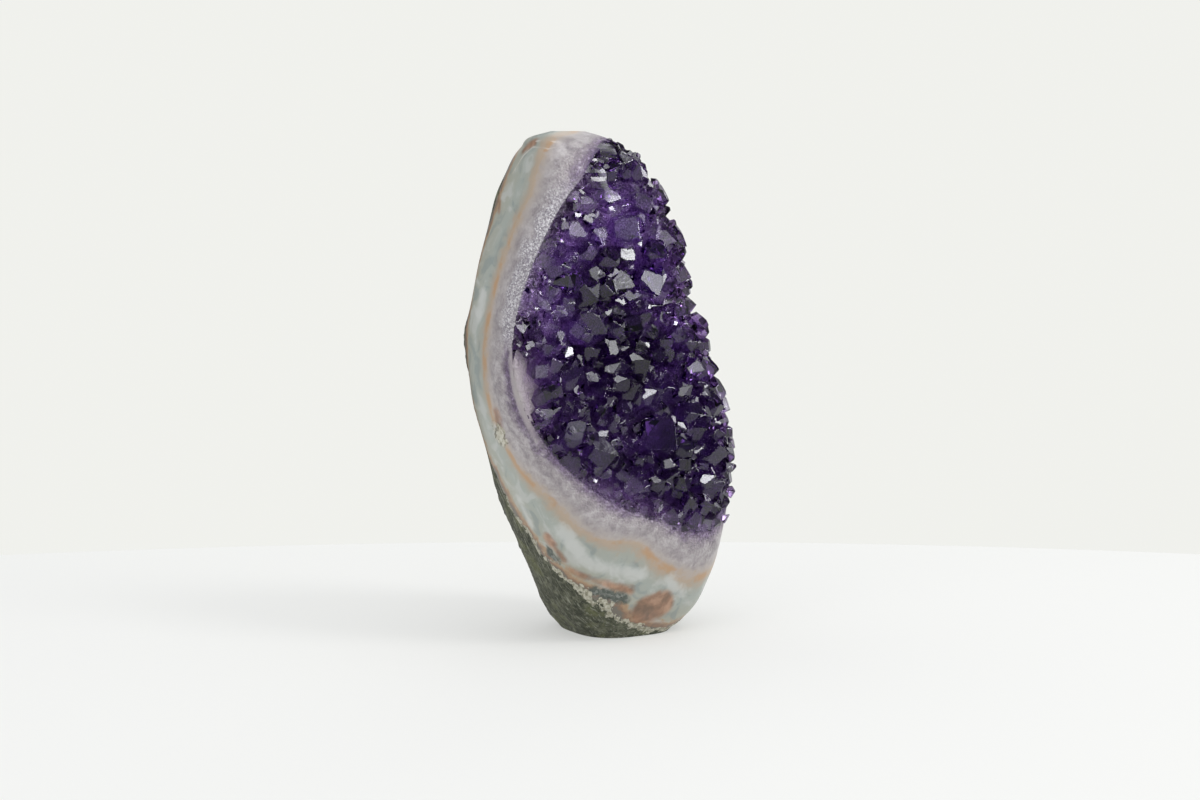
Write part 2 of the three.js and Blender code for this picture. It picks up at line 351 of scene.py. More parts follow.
def hollow_stretch(x, z):
    """The two stretched distances from the hollow's middle line, and the sum of its swells."""
    rise = z - HOLLOW_Z
    bent = np.hypot(rise, HOLLOW_BEND)
    above = (rise + bent) / 2
    below = (rise - bent) / 2
    aside = (x - HOLLOW_X - LEAN_ABOVE * above - LEAN_BELOW * below) / HOLLOW_WIDENING
    up = RISE_ABOVE * above + RISE_BELOW * below
    forward = sum(amount * np.exp(-((x - at_x)**2 + (z - at_z)**2) / reach**2)
                  for at_x, at_z, reach, amount in SWELLS)
    return aside, up, forward


def wall_y(x, z, depth=0):
    """The y of the hollow's wall, a depth behind the crystals' feet."""
    aside, up, forward = hollow_stretch(x, z)
    squared = np.maximum((HOLLOW_RADIUS + depth)**2 - aside**2 - up**2, 1)
    return HOLLOW_Y + np.sqrt(squared) - HOLLOW_SLANT * (x - HOLLOW_X) - forward


def wall_depth(x, y, z):
    """How deep a point lies behind the crystals' feet."""
    aside, up, forward = hollow_stretch(x, z)
    back = y + forward + HOLLOW_SLANT * (x - HOLLOW_X) - HOLLOW_Y
    return np.sqrt(aside**2 + back**2 + up**2) - HOLLOW_RADIUS


def noise_field(points, size, seed, octaves=2):
    """Smooth noise from about -1 to 1, with features of a size in millimetres."""
    shift = Vector((seed * 17.3, seed * -9.1, seed * 5.7))
    return np.array([noise.fractal(Vector(p) / size + shift, 0.9, 2.1, octaves) for p in points])


def make_object(name, vertices, faces):
    mesh = bpy.data.meshes.new(name)
    mesh.from_pydata([tuple(v) for v in vertices], [], faces)
    piece = bpy.data.objects.new(name, mesh)
    bpy.context.scene.collection.objects.link(piece)
    return piece


def ring_faces(rows, sides):
    """Quads between rings of points, and fans to two more points, at the base and the top."""
    ring = np.arange(rows * sides).reshape(rows, sides)
    ahead = np.roll(ring, -1, axis=1)
    faces = np.stack([ring[:-1], ahead[:-1], ahead[1:], ring[1:]], -1).reshape(-1, 4).tolist()
    for side in range(sides):
        faces.append((ring.size, ahead[0, side], side))
        faces.append((ring.size + 1, ring[-1, side], ahead[-1, side]))
    return faces


def outline_grid(rows, sides):
    """Heights and angles of rings that crowd towards the base and the top."""
    share = np.linspace(0, 1, rows)
    height = HEIGHT * np.sin(share * math.pi / 2)**ROW_CROWDING
    angle = np.linspace(0, 2 * math.pi, sides, endpoint=False)
    return np.meshgrid(height, angle, indexing="ij")


def ways_out(middle_x, middle_y, height, angle):
    """Each section's middle, and the directions from it to the points around it."""
    middle = np.stack([middle_x, middle_y, height], -1).reshape(-1, 3)
    across = np.stack([np.cos(angle), np.sin(angle), np.zeros(angle.shape)], -1).reshape(-1, 3)
    return middle, across


def with_ends(points, middle):
    """Rings of points, and the middles of the first and the last ring."""
    return np.concatenate([points, middle[:1], middle[-1:]])


def flat_distance(middle_x, middle_y, height, angle):
    """How far the sawn flat is from each section's middle, very far where it faces away."""
    facing = FLAT_FACING
    least_ahead = 0.05
    ahead = facing.x * np.cos(angle) + facing.y * np.sin(angle)
    gap = (facing.x * (FLAT_THROUGH.x - middle_x) + facing.y * (FLAT_THROUGH.y - middle_y)
           + facing.z * (FLAT_THROUGH.z - height))
    return np.where(ahead > least_ahead, gap / np.maximum(ahead, least_ahead), VERY_FAR)


def wall_distance(middle_x, middle_y, height, angle, depth):
    """How far the hollow's wall is from each section's middle, very far where it isn't met."""
    across = np.cos(angle)
    along = np.sin(angle)
    farthest = 60
    steps = np.linspace(0, farthest, 2 * farthest + 1)
    found = np.full(height.shape, VERY_FAR)
    before = middle_y - wall_y(middle_x, height, depth)
    for step in steps[1:]:
        inside = middle_y + step * along - wall_y(middle_x + step * across, height, depth)
        crossed = (before > 0) & (inside <= 0) & (found == VERY_FAR)
        share = before / np.maximum(before - inside, 1e-9)
        found = np.where(crossed, step - steps[1] * (1 - share), found)
        before = inside
    return found


def soft_least(a, b, rounding):
    """The lesser of two distances, with the corner between them rounded."""
    blend = np.clip(0.5 + 0.5 * (b - a) / rounding, 0, 1)
    return b * (1 - blend) + a * blend - rounding * blend * (1 - blend)


def rod_distance(points, start, end, radius):
    """The distance from a rounded rod, less than nothing inside it."""
    start = np.array(start)
    along = np.array(end) - start
    share = np.clip((points - start) @ along / (along @ along), 0, 1)
    return np.linalg.norm(points - start - share[:, None] * along, axis=1) - radius


def nearest_rod(points, rods):
    return np.min([rod_distance(points, *rod) for rod in rods], axis=0)


def bulge_distance(x, z):
    """How far off the bulge's middle a place is, as a share of its reach."""
    return np.hypot((x - BULGE[0]) / BULGE_REACH[0], (z - BULGE[1]) / BULGE_REACH[1])


def layer_depth(points, depth):
    """The depth with the layers' swells."""
    for place, reach, amount in LAYER_SWELLS:
        away = np.linalg.norm(points - place, axis=1) / reach
        depth = depth + amount * np.exp(-away**2)
    return depth


def stone_rings(height, angle):
    """Each section's middle, the ways out of it, how far the stone reaches, and the bulge's share."""
    middle_x, middle_y, size = outline_reach(height, angle)
    size = soft_least(size, flat_distance(middle_x, middle_y, height, angle), FLAT_ROUNDING)
    wall = wall_distance(middle_x, middle_y, height, angle, STONE_STARTS)
    bulge = np.exp(-bulge_distance(middle_x + wall * np.cos(angle), height)**2)
    rim = np.exp(-(np.minimum(wall - size, 0) / RIM_REACH)**2)
    size = soft_least(size, wall + RIM_RISE * rim + BULGE_RISE * bulge, RIM_ROUNDING)
    return *ways_out(middle_x, middle_y, height, angle), size.reshape(-1, 1), bulge.reshape(-1)


def make_stone():
    """The wall from base to top, with the hollow in it and its layers and markings as attributes."""
    middle, across, size, bulge = stone_rings(*outline_grid(STONE_ROWS, STONE_SIDES))
    points = middle + across * size
    depth = wall_depth(*points.T)
    bulge_layers = BULGE_LAYER * bulge * (1 - smoothstep(depth, *BULGE_LAYER_FADES))
    layers = layer_depth(points, depth) + bulge_layers
    broad = noise_field(points, 6, 1)
    small = noise_field(points, 1.8, 2)
    ragged = layers + 1.1 * broad + 0.5 * small
    relief = stone_relief(points, ragged) * smoothstep(points[:, 2], *RELIEF_STARTS)
    points = points + across * relief.reshape(-1, 1)
    stone = make_object("stone", with_ends(points, middle) * MM, ring_faces(STONE_ROWS, STONE_SIDES))
    for name, values, at_base in stone_attributes(points, layers, ragged, bulge):
        values = np.clip(values, *ATTRIBUTE_RANGE)
        add_attribute(stone, name, np.concatenate([values, [at_base, values[-1]]]))
    stone.data.shade_smooth()
    return stone


def stone_attributes(points, layers, ragged, bulge):
    """What the shader reads: a name, the value at each point, and the one at the base's middle."""
    _, y, z = points.T
    cracks = [(start, end, 0) for crack in CRACKS for start, end in zip(crack, crack[1:])]
    pits_middle, pits_radius = PITS
    return [
        ("layers", layers, IN_BASALT),
        ("ragged", ragged, IN_BASALT),
        ("rust", nearest_rod(points, RUST), UNMARKED),
        ("dark", nearest_rod(points, DARK), UNMARKED),
        ("white", nearest_rod(points, WHITE), UNMARKED),
        ("cracks", nearest_rod(points, cracks), UNMARKED),
        ("pits", np.linalg.norm(points - pits_middle, axis=1) - pits_radius, UNMARKED),
        ("sugar", smoothstep(z, *SUGAR_STARTS) * (1 - smoothstep(z, *SUGAR_ENDS)), 0),
        ("bulge", bulge, 0),
        ("sawn", 1 - smoothstep(y, *ROUGH_FROM), 0),
        ("low", 1 - smoothstep(z, *LEDGE_ENDS), 1),
    ]


def stone_relief(points, ragged):
    """Small relief: sawn basalt lies a little low behind a proud ragged rim, and its back is rough."""
    _, y, z = points.T
    basalt = smoothstep(ragged, BASALT_STARTS - 0.2, BASALT_STARTS + 0.5)
    rough = smoothstep(y, *ROUGH_FROM)
    coarse = noise_field(points, 3.2, 3, 4)
    fine = noise_field(points, 1, 4, 3)
    rim = np.exp(-((ragged - BASALT_STARTS - 0.2) / RAGGED_WIDTH)**2)
    rim = rim * (1 - rough) * smoothstep(fine, -0.3, 0.5)
    front = basalt * (1 - rough) * (-SAWN_SINKS + 0.09 * fine + 0.05 * coarse)
    back = basalt * rough * (0.35 * coarse + 0.22 * fine)
    return (front + RAGGED_RISES * rim) * (1 - smoothstep(z, *LEDGE_ENDS)) + back


def add_attribute(piece, name, values):
    layer = piece.data.attributes.new(name, "FLOAT", "POINT")
    layer.data.foreach_set("value", np.asarray(values, dtype=np.float32))


class NumberStream:
    """The same run of numbers between 0 and 1 each time."""
    multiplier = 48271
    modulus = 2147483647

    def __init__(self, seed):
        self.state = seed

    def next(self):
        self.state = (self.state * self.multiplier) % self.modulus
        return self.state / self.modulus


def mix(low, high, share):
    return low + (high - low) * share


def is_in_druse(x, z, margin=0):
    """Whether a foot on the hollow's wall lies inside the outline, made wider by a margin."""
    if z > HIGHEST_FOOT:
        return False
    y = wall_y(x, z)
    left, right, front, back = (smooth_outline(reach, z) for reach in (LEFT, RIGHT, FRONT, BACK))
    across = (x - (left + right) / 2) / ((right - left) / 2 + margin)
    along = (y - (front + back) / 2) / ((back - front) / 2 + margin)
    return abs(across)**FRONT_SQUARENESS + abs(along)**FRONT_SQUARENESS < 1


def draw_place(stream):
    x = mix(*DRUSE_X, stream.next())
    z = mix(*DRUSE_Z, stream.next())
    return x, z


def draw_stance(stream):
    return {
        "lean": GREATEST_LEAN * math.sqrt(stream.next()),
        "lean_way": 2 * math.pi * stream.next(),
        "turn": 2 * math.pi * stream.next(),
        "tallness": stream.next(),
    }


def place_main_crystals():
    """The large ones as listed, and others drawn between them."""
    stream = NumberStream(SEED)
    names = ("x", "z", "width", "lean", "lean_way")
    crystals = [{**draw_stance(stream), **dict(zip(names, chosen))} for chosen in CHOSEN_CRYSTALS]
    for _ in range(CRYSTAL_TRIES):
        x, z = draw_place(stream)
        width = mix(SMALLEST_CRYSTAL, LARGEST_CRYSTAL, stream.next()**2)
        crystal = {"x": x, "z": z, "width": width, **draw_stance(stream)}
        if is_in_druse(x, z) and is_clear(crystal, crystals, CRYSTAL_SPACING):
            crystals.append(crystal)
    return crystals


def place_small_crystals(main_crystals):
    """Slender ones that fill the gaps, and very small ones along the hollow's left rim."""
    stream = NumberStream(SMALL_SEED)
    crystals = list(main_crystals)
    for _ in range(SMALL_CRYSTAL_TRIES):
        x, z = draw_place(stream)
        size_draw = stream.next()
        stance = draw_stance(stream)
        if not is_in_druse(x, z, SMALL_MARGIN):
            continue
        at_rim = x < 0 and not is_in_druse(x, z, -RIM_WIDTH)
        smallest = SMALLEST_AT_RIM if at_rim else SMALLEST_FILLER
        largest = SMALLEST_FILLER if at_rim else LARGEST_FILLER
        crystal = {"x": x, "z": z, "width": mix(smallest, largest, size_draw), **stance}
        crystal["lean"] *= SMALL_LEAN
        crystal["slender"] = mix(*SMALL_SLENDERNESS, stance["tallness"])
        if is_clear(crystal, crystals, SMALL_CRYSTAL_SPACING):
            crystals.append(crystal)
    return crystals[len(main_crystals):]


def is_clear(crystal, others, spacing):
    return all(
        math.hypot(other["x"] - crystal["x"], other["z"] - crystal["z"])
        >= spacing * (other["width"] + crystal["width"]) / 2
        for other in others
    )


def foot(crystal):
    """Where a crystal stands on the hollow's wall."""
    return np.array((crystal["x"], float(wall_y(crystal["x"], crystal["z"])), crystal["z"]))


def tip_length(spec, axis):
    """The crystal's height, held down where it would stand out of the ground outline."""
    tip = spec["width"] * spec.get("slender", mix(*TALLNESS, spec["tallness"]))
    step = 0.2
    steps = np.arange(0, tip + step, step)
    points = foot(spec) + steps[:, None] * np.array(axis)
    just_inside = 0.01
    heights = np.clip(points[:, 2], just_inside, HEIGHT - just_inside)
    middle_x, middle_y, _ = outline_reach(heights, np.zeros(len(steps)))
    angles = np.arctan2(points[:, 1] - middle_y, points[:, 0] - middle_x)
    wider = JAGGED_EDGE * smoothstep(spec["x"], *JAGGED_FROM)
    _, _, reach = outline_reach(heights, angles, wider)
    away = np.hypot(points[:, 0] - middle_x, points[:, 1] - middle_y)
    outside = np.nonzero(away > reach)[0]
    return min(tip, steps[outside[0]] + TIP_ABOVE_OUTLINE) if len(outside) else tip


def crystal_axis(x, z, lean, lean_way):
    """Square to the wall, and leaning from that by an angle, one way or another."""
    step = 0.5
    slope_x = (wall_y(x + step, z) - wall_y(x - step, z)) / (2 * step)
    slope_z = (wall_y(x, z + step) - wall_y(x, z - step)) / (2 * step)
    return Vector((
        slope_x + math.tan(lean) * math.cos(lean_way),
        -1,
        slope_z + math.tan(lean) * math.sin(lean_way),
    )).normalized()


def cut_by_plane(crystal, point, facing):
    """Trims a convex body by a plane and closes the cut."""
    everything = crystal.verts[:] + crystal.edges[:] + crystal.faces[:]
    cut = bmesh.ops.bisect_plane(crystal, geom=everything, plane_co=point, plane_no=facing,
                                 clear_outer=True)
    edges = [item for item in cut["geom_cut"] if isinstance(item, bmesh.types.BMEdge)]
    if edges:
        bmesh.ops.contextual_create(crystal, geom=edges)


def cut_tip(crystal, radius, tip, stream):
    """Cuts six tip faces, each set back by an amount of its own."""
    for face in range(6):
        way = (face + 0.5) * math.pi / 3
        setback = NARROW_FACE_SETBACK if face % 2 == 1 else BROAD_FACE_SETBACK
        reach = tip + radius * mix(*setback, stream.next())
        facing = Vector((
            math.cos(TIP_FACE_ANGLE) * math.cos(math.pi / 2 - way),
            -math.cos(TIP_FACE_ANGLE) * math.sin(math.pi / 2 - way),
            math.sin(TIP_FACE_ANGLE),
        ))
        cut_by_plane(crystal, Vector((0, 0, reach)), facing)


def make_crystal(spec, collection):
    """A six-sided prism with an uneven six-faced tip. The edges of all but tiny ones are worn."""
    radius = spec["width"] / 2
    axis = crystal_axis(spec["x"], spec["z"], spec["lean"], spec["lean_way"])
    tip = tip_length(spec, axis)
    crystal = bmesh.new()
    bmesh.ops.create_cone(crystal, cap_ends=True, segments=6, radius1=radius, radius2=radius,
                          depth=tip + ROOT_DEPTH)
    bmesh.ops.rotate(crystal, verts=crystal.verts, matrix=Matrix.Rotation(math.pi / 2, 3, "Z"))
    bmesh.ops.translate(crystal, verts=crystal.verts, vec=(0, 0, (tip - ROOT_DEPTH) / 2))
    cut_tip(crystal, radius, tip, NumberStream(1 + int(spec["turn"] * SEEDS_PER_TURN)))
    if spec["width"] > BEVELLED_FROM:
        bmesh.ops.bevel(crystal, geom=crystal.edges[:], offset=EDGE_BEVEL, segments=1,
                        affect="EDGES", clamp_overlap=True)
    upright = Vector((0, 1, 0))
    stand_up = Matrix.Rotation(-math.pi / 2, 3, "X")
    turned = upright.rotation_difference(axis) @ Quaternion(upright, spec["turn"])
    crystal.transform((turned.to_matrix() @ stand_up).to_4x4())
    bmesh.ops.translate(crystal, verts=crystal.verts, vec=Vector(foot(spec)))
    mesh = bpy.data.meshes.new("crystal")
    crystal.to_mesh(mesh)
    crystal.free()
    piece = bpy.data.objects.new("crystal", mesh)
    collection.objects.link(piece)
    spec["axis"] = axis
    spec["tip"] = tip


def make_front_of_wall(name, depth):
    """Everything in front of the hollow's wall, at a depth behind the crystals' feet."""
    rows = CUTTER_ROWS
    x, z = np.meshgrid(np.linspace(-CUTTER_HALF_WIDTH, CUTTER_HALF_WIDTH, CUTTER_COLUMNS),
                       np.linspace(-CUTTER_SPARE, HEIGHT + CUTTER_SPARE, rows), indexing="ij")
    near = np.stack([x, np.full(x.shape, CUTTER_FRONT), z], -1).reshape(-1, 3)
    far = np.stack([x, wall_y(x, z, depth), z], -1).reshape(-1, 3)
    index = np.arange(x.size).reshape(x.shape)
    faces = []
    for a in index[:-1, :-1].ravel():
        quad = (a, a + rows, a + rows + 1, a + 1)
        faces.append(quad)
        faces.append(tuple(x.size + v for v in reversed(quad)))
    border = [*index[:, 0], *index[-1, 1:], *index[-2::-1, -1], *index[0, -2:0:-1]]
    for a, b in zip(border, border[1:] + border[:1]):
        faces.append((b, a, x.size + a, x.size + b))
    return make_solid(name, np.concatenate([near, far]), faces)


def make_solid(name, vertices, faces):
    """A scratch solid in millimetres, for cutting."""
    solid = make_object(name, vertices, faces)
    body = bmesh.new()
    body.from_mesh(solid.data)
    bmesh.ops.recalc_face_normals(body, faces=body.faces[:])
    body.to_mesh(solid.data)
    body.free()
    return solid


def make_outline_solid(name, wider):
    """Everything inside the ground outline, made wider at its right."""
    height, angle = outline_grid(CUTTER_ROWS, CUTTER_SIDES)
    middle_x, middle_y, size = outline_reach(height, angle, wider)
    middle, across = ways_out(middle_x, middle_y, height, angle)
    points = with_ends(middle + across * size.reshape(-1, 1), middle)
    return make_solid(name, points, ring_faces(CUTTER_ROWS, CUTTER_SIDES))


def combine(piece, operation, other):
    """Joins, cuts or intersects a piece with one scratch solid or several, and removes those."""
    modifier = piece.modifiers.new("combine", "BOOLEAN")
    modifier.operation = operation
    modifier.solver = "MANIFOLD"
    if isinstance(other, bpy.types.Collection):
        modifier.operand_type = "COLLECTION"
        modifier.collection = other
        solids = other.objects[:]
    else:
        modifier.object = other
        solids = [other]
    evaluated = piece.evaluated_get(bpy.context.evaluated_depsgraph_get())
    mesh = bpy.data.meshes.new_from_object(evaluated)
    piece.modifiers.clear()
    piece.data = mesh
    for solid in solids:
        bpy.data.objects.remove(solid)


def make_crust():
    """All crystals joined at their roots, ground off where the stone's outline is."""
    collection = bpy.data.collections.new("crystals")
    bpy.context.scene.collection.children.link(collection)
    main_crystals = place_main_crystals()
    crystals = main_crystals + place_small_crystals(main_crystals)
    crystals = [c for c in crystals if bulge_distance(c["x"], c["z"]) >= BARE_BULGE]
    for spec in crystals:
        make_crystal(spec, collection)
    crust = make_front_of_wall("crystals", CRUST_ENDS)
    combine(crust, "DIFFERENCE", make_front_of_wall("feet", CRUST_STARTS))
    combine(crust, "INTERSECT", make_outline_solid("ground_outline", 0))
    combine(crust, "UNION", collection)
    combine(crust, "INTERSECT", make_outline_solid("wide_outline", JAGGED_EDGE))
    combine(crust, "INTERSECT", make_front_of_wall("front_of_wall", CRUST_ENDS))
    bpy.data.collections.remove(collection)
    keep_largest_part(crust)
    # The tint holds the crystals' own paleness and also painted light and shade
    add_attribute(crust, "tint", crystal_tints(crust, crystals))
    crust.data.transform(Matrix.Scale(MM, 4))
    crust.data.materials.clear()
    crust.data.shade_flat()
    return crust


def crystal_tints(crust, crystals):
    """How pale each point is: by its crystal, with painted shade near the wall and painted light and
    shade over parts of the druse.
    """
    points = np.array([vertex.co for vertex in crust.data.vertices])
    middles = np.array([foot(c) + np.array(c["axis"]) * c["tip"] * MIDDLE_OF_CRYSTAL for c in crystals])
    widths = np.array([c["width"] for c in crystals])
    nearest = np.empty(len(points), dtype=int)
    at_once = 2000
    for start in range(0, len(points), at_once):
        block = slice(start, start + at_once)
        away = np.linalg.norm(points[block, None] - middles[None], axis=2) / widths
        nearest[block] = np.argmin(away, axis=1)
    stream = NumberStream(SEED)
    own = np.array([stream.next() for _ in crystals])
    tint = PALENESS + OWN_PALENESS * (own[nearest] - OWN_MIDDLE)
    # Painted shade deep between the crystals: darker near the wall, paler towards the tips
    above_wall = -wall_depth(*points.T)
    tint = tint + CREVICE_SHADE * (smoothstep(above_wall, *SHADE_FADES_ABOVE_WALL) - CREVICE_SHADE_MIDDLE)
    # Painted light and shade over parts of the druse
    for x, z, reach, amount in DRUSE_PAINTED_LIGHT_AND_SHADE:
        tint = tint + amount * np.exp(-((points[:, 0] - x)**2 + (points[:, 2] - z)**2) / reach**2)
    return np.clip(tint, 0, 1)


def keep_largest_part(piece):
    """Drops loose bits and closed pockets."""
    body = bmesh.new()
    body.from_mesh(piece.data)
    unseen = set(body.verts)
    parts = []
    while unseen:
        part = [unseen.pop()]
        for vertex in part:
            others = {edge.other_vert(vertex) for edge in vertex.link_edges} & unseen
            unseen -= others
            part.extend(others)
        parts.append(part)
    parts.sort(key=len)
    for part in parts[:-1]:
        bmesh.ops.delete(body, geom=part, context="VERTS")
    body.to_mesh(piece.data)
    body.free()


# Materials

# Colours of the layers, by depth in millimetres
LAYER_COLOURS = [
    (-1, (0.05, 0.025, 0.09)),
    (0.6, (0.1, 0.055, 0.16)),
    (1.8, (0.24, 0.18, 0.28)),
    (3, (0.34, 0.29, 0.33)),
    (6, (0.38, 0.35, 0.35)),
    (8.3, (0.42, 0.37, 0.34)),
    (9.4, (0.43, 0.34, 0.26)),
    (10.4, (0.4, 0.33, 0.26)),
    (11.8, (0.35, 0.36, 0.32)),
    (13.4, (0.35, 0.38, 0.35)),
    (18.6, (0.36, 0.36, 0.3)),
    (19.4, (0.38, 0.26, 0.16)),
    (20.3, (0.24, 0.15, 0.1)),
    (21, (0.16, 0.145, 0.12)),
]
LAYERS_FROM = -1
LAYERS_TO = 24

# Single colours, and tones from dark to light by a share from 0 to 1
ORANGE = (0.45, 0.27, 0.14)
PALE_CLOUD = (0.48, 0.49, 0.47)
GREY_SHADE = (0.22, 0.26, 0.26)
WHITE_CLOUD = (0.54, 0.55, 0.53)
HEALED_CRACK = (0.62, 0.57, 0.52)
DEEP_PURPLE = (0.06, 0.035, 0.09)
MOSS = (0.15, 0.16, 0.07)
SCRATCHED = (0.34, 0.35, 0.28)
RUST_TONES = [(0.32, (0.16, 0.09, 0.055)), (0.5, (0.28, 0.15, 0.09)), (0.66, (0.44, 0.26, 0.17))]
DARK_TONES = [(0.3, (0.05, 0.06, 0.052)), (0.55, (0.1, 0.115, 0.1)), (0.75, (0.26, 0.27, 0.25))]
LILAC_TONES = [(0.36, (0.21, 0.185, 0.205)), (0.5, (0.34, 0.31, 0.32)), (0.64, (0.5, 0.47, 0.48))]
PURPLE_TONES = [
    (0.3, (0.045, 0.028, 0.06)),
    (0.5, (0.11, 0.07, 0.14)),
    (0.66, (0.22, 0.16, 0.27)),
    (0.8, (0.5, 0.45, 0.55)),
]
SUGAR_TONES = [(0.1, (0.2, 0.18, 0.21)), (0.5, (0.38, 0.36, 0.39)), (0.9, (0.8, 0.78, 0.81))]
BASALT_TONES = [(0.32, (0.022, 0.025, 0.014)), (0.5, (0.055, 0.059, 0.037)), (0.68, (0.14, 0.145, 0.1))]
CREAM_TONES = [(0.35, (0.24, 0.23, 0.16)), (0.6, (0.55, 0.53, 0.44))]
PIT_TONES = [(0.2, (0.14, 0.13, 0.09)), (0.5, (0.42, 0.4, 0.31)), (0.8, (0.6, 0.58, 0.5))]
AMETHYST_TONES = [
    (0, (0.1, 0.06, 0.14)),
    (0.25, (0.38, 0.29, 0.46)),
    (0.55, (0.8, 0.72, 0.88)),
    (1, (0.97, 0.95, 1)),
]

# How light goes through amethyst, and how rough each surface is
AMETHYST_IOR = 1.544
ABSORPTION_COLOUR = (0.65, 0.49, 0.79)
ABSORPTION_DENSITY = 340
CRYSTAL_ROUGHNESS = 0.03
POLISHED_ROUGHNESS = 0.34
SAWN_ROUGHNESS = 0.72
DRUSE_EDGE_ROUGHNESS = 0.5
STONE_SPECULAR = 0.4

# The saw marks' directions and how drawn out they are
STRIP_MARKS = ((0, math.radians(20), math.radians(150)), 16)
FRONT_MARKS = ((0, math.radians(125), math.radians(-30)), 12)


class Nodes:
    """Short forms for building the nodes of a material or of the sky."""

    def __init__(self, tree, coordinates):
        self.tree = tree
        self.place = self.new("TexCoord").outputs[coordinates]

    def new(self, kind, **inputs):
        """A node of a kind, with inputs set or linked."""
        node = self.tree.nodes.new("ShaderNode" + kind)
        self.feed_all(node, inputs)
        return node

    def feed(self, socket, value):
        """Puts a number, a colour, a vector or another node's output into a socket."""
        if isinstance(value, (int, float)):
            socket.default_value = value
        elif isinstance(value, tuple):
            socket.default_value = (*value, 1) if socket.type == "RGBA" else value
        else:
            self.tree.links.new(value, socket)

    def feed_all(self, node, inputs):
        for name, value in inputs.items():
            self.feed(node.inputs[name.replace("_", " ")], value)

    def attribute(self, name):
        node = self.new("Attribute")
        node.attribute_name = name
        return node.outputs["Fac"]

    def striped(self, turn, longer):
        """Places for noise drawn out along one turned axis."""
        node = self.new("Mapping", Vector=self.place, Rotation=turn, Scale=(1, 1, longer))
        node.vector_type = "TEXTURE"
        return node.outputs["Vector"]

    def noise(self, size, detail=4, distortion=0, at=None):
        """Noise with features of a size in millimetres."""
        node = self.new("TexNoise", Scale=1 / (size * MM), Detail=detail, Distortion=distortion,
                        Vector=at or self.place)
        return node.outputs["Fac"]

    def cells(self, size, output="Distance"):
        """Cells of a size in millimetres, by the distance from their middles."""
        return self.new("TexVoronoi", Scale=1 / (size * MM), Vector=self.place).outputs[output]

    def grains(self, size):
        """Cells with a number of its own for each."""
        return self.cells(size, "Color")

    def math(self, operation, a, b=0):
        node = self.new("Math")
        node.operation = operation
        self.feed(node.inputs[0], a)
        self.feed(node.inputs[1], b)
        return node.outputs["Value"]

    def plus(self, a, b):
        return self.math("ADD", a, b)

    def minus(self, a, b):
        return self.math("SUBTRACT", a, b)

    def times(self, a, b):
        return self.math("MULTIPLY", a, b)

    def blend(self, a, share, b):
        """A share of one value and the rest of another."""
        return self.plus(self.times(a, share), self.times(b, 1 - share))

    def shift(self, value, amount):
        """Noise from 0 to 1 turned into a shift either way."""
        return self.times(self.minus(value, 0.5), amount)

    def range(self, value, low, high, to_low=0, to_high=1, smooth=True):
        """A value moved from one range to another, and held at its ends."""
        node = self.new("MapRange", Value=value, From_Min=low, From_Max=high,
                        To_Min=to_low, To_Max=to_high)
        if smooth:
            node.interpolation_type = "SMOOTHSTEP"
        return node.outputs["Result"]

    def patch(self, distance, wobble, softness):
        """A patch where a distance, made uneven, is less than nothing."""
        return self.range(self.plus(distance, wobble), softness, -softness)

    def ramp(self, value, stops):
        node = self.new("ValToRGB", Fac=value)
        elements = node.color_ramp.elements
        while len(elements) < len(stops):
            elements.new(1)
        for element, (position, colour) in zip(elements, stops):
            element.position = position
            element.color = (*colour, 1)
        return node.outputs["Color"]

    def mix(self, share, a, b):
        node = self.new("Mix")
        node.data_type = "RGBA"
        for place, value in ((0, share), (6, a), (7, b)):
            self.feed(node.inputs[place], value)
        return node.outputs[2]

    def bump(self, height, strength, depth):
        """Bumps of a depth in millimetres."""
        node = self.new("Bump", Height=height, Strength=strength, Distance=depth * MM)
        return node.outputs["Normal"]


class Material(Nodes):
    """A material with one shader, whose inputs are set or linked by name."""

    def __init__(self, name):
        self.material = bpy.data.materials.new(name)
        self.material.use_nodes = True
        tree = self.material.node_tree
        tree.nodes.clear()
        super().__init__(tree, "Object")
        self.shader = self.new("BsdfPrincipled")
        self.output = self.new("OutputMaterial", Surface=self.shader.outputs["BSDF"])

    def set(self, **inputs):
        self.feed_all(self.shader, inputs)


def layer_colours(nodes, depth):
    span = LAYERS_TO - LAYERS_FROM
    share = nodes.math("DIVIDE", nodes.minus(depth, LAYERS_FROM), span)
    return nodes.ramp(share, [((at - LAYERS_FROM) / span, colour) for at, colour in LAYER_COLOURS])


def agate_colour(nodes, layers):
    """Uneven bands of quartz, tan and grey agate, with orange spots and grey clouds."""
    broad = nodes.shift(nodes.noise(7, 4, 1.5), 4)
    small = nodes.shift(nodes.noise(1.6, 5, 0.8), 2.4)
    colour = layer_colours(nodes, nodes.plus(layers, nodes.plus(broad, small)))
    in_orange = nodes.times(nodes.range(layers, 8.3, 9.4), nodes.range(layers, 11, 9.8))
    spots = nodes.times(in_orange, nodes.range(nodes.noise(5.5, 3), 0.5, 0.62))
    colour = nodes.mix(nodes.times(spots, 0.75), colour, ORANGE)
    in_agate = nodes.times(nodes.range(layers, 10.5, 12.5), nodes.range(layers, 20, 18.5))
    flow = nodes.noise(5, 5, 1)
    clouds = nodes.times(nodes.range(flow, 0.5, 0.66), in_agate)
    colour = nodes.mix(nodes.times(clouds, 0.7), colour, PALE_CLOUD)
    shade = nodes.times(nodes.range(flow, 0.46, 0.34), in_agate)
    return nodes.mix(nodes.times(shade, 0.6), colour, GREY_SHADE)


